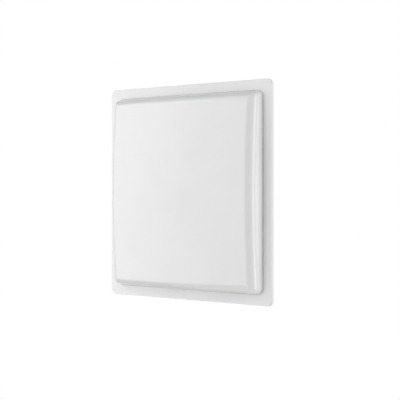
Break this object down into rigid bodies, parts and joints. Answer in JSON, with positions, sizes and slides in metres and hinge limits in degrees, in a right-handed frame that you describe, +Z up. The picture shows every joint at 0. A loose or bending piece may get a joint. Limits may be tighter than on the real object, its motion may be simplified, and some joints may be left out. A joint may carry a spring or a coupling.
{
  "type": "flat panel antenna of a security gate",
  "caption": "Square white UHF reader antenna for a store's security gate: crowned dome with a flange all round, flat metal back, threaded studs and a coaxial jack.",
  "frame": {"origin": "centre of the stud pattern, on the rear face of the ground plate", "axes": "+Y out of the back, along the studs, so the dome faces -Y; +Z up with the jack below the centre; +X completes the frame"},
  "size_m": [0.259, 0.0462, 0.259],
  "materials": {
    "white_shell": "satin-gloss moulded, weather-resistant white plastic",
    "plate_aluminium": "fine brushed sheet with a clear passivated skin",
    "patch_aluminium": "plain rolled sheet",
    "black_rubber": "matt",
    "zinc_steel": "bright zinc-plated",
    "brass_turned": "turned, bare",
    "nickel_jack": "nickel-plated brass",
    "gold_contact": "gold-plated",
    "copper_foil": "copper foil",
    "board_laminate": "green solder mask",
    "white_nylon": "moulded",
    "ptfe_bead": "waxy",
    "solder": "bright solder",
    "resistor_black": "matt ceramic body",
    "vent_film": "matt expanded film",
    "label_film": "blank satin polyester"
  },
  "bodies": {
    "root": {"radome": "white_shell", "back_plate": "plate_aluminium", "edge_gasket": "black_rubber", "radome_screws": "zinc_steel", "mounting_studs": "zinc_steel", "centre_post": "brass_turned", "post_washer": "zinc_steel", "post_screw": "zinc_steel", "radiating_patch": "patch_aluminium", "patch_spacers": "white_nylon", "spacer_pads": "black_rubber", "feed_board": "board_laminate", "feed_traces": "copper_foil", "board_standoffs": "brass_turned", "board_screws": "zinc_steel", "feed_probes": "brass_turned", "solder_joints": "solder", "load_resistor": "resistor_black", "jack_shell": "nickel_jack", "jack_insulator": "ptfe_bead", "jack_contact": "gold_contact", "jack_gasket": "black_rubber", "jack_screws": "zinc_steel", "jack_nuts": "zinc_steel", "jack_washers": "zinc_steel", "vent_membrane": "vent_film", "rating_label": "label_film"}
  },
  "joints": []
}
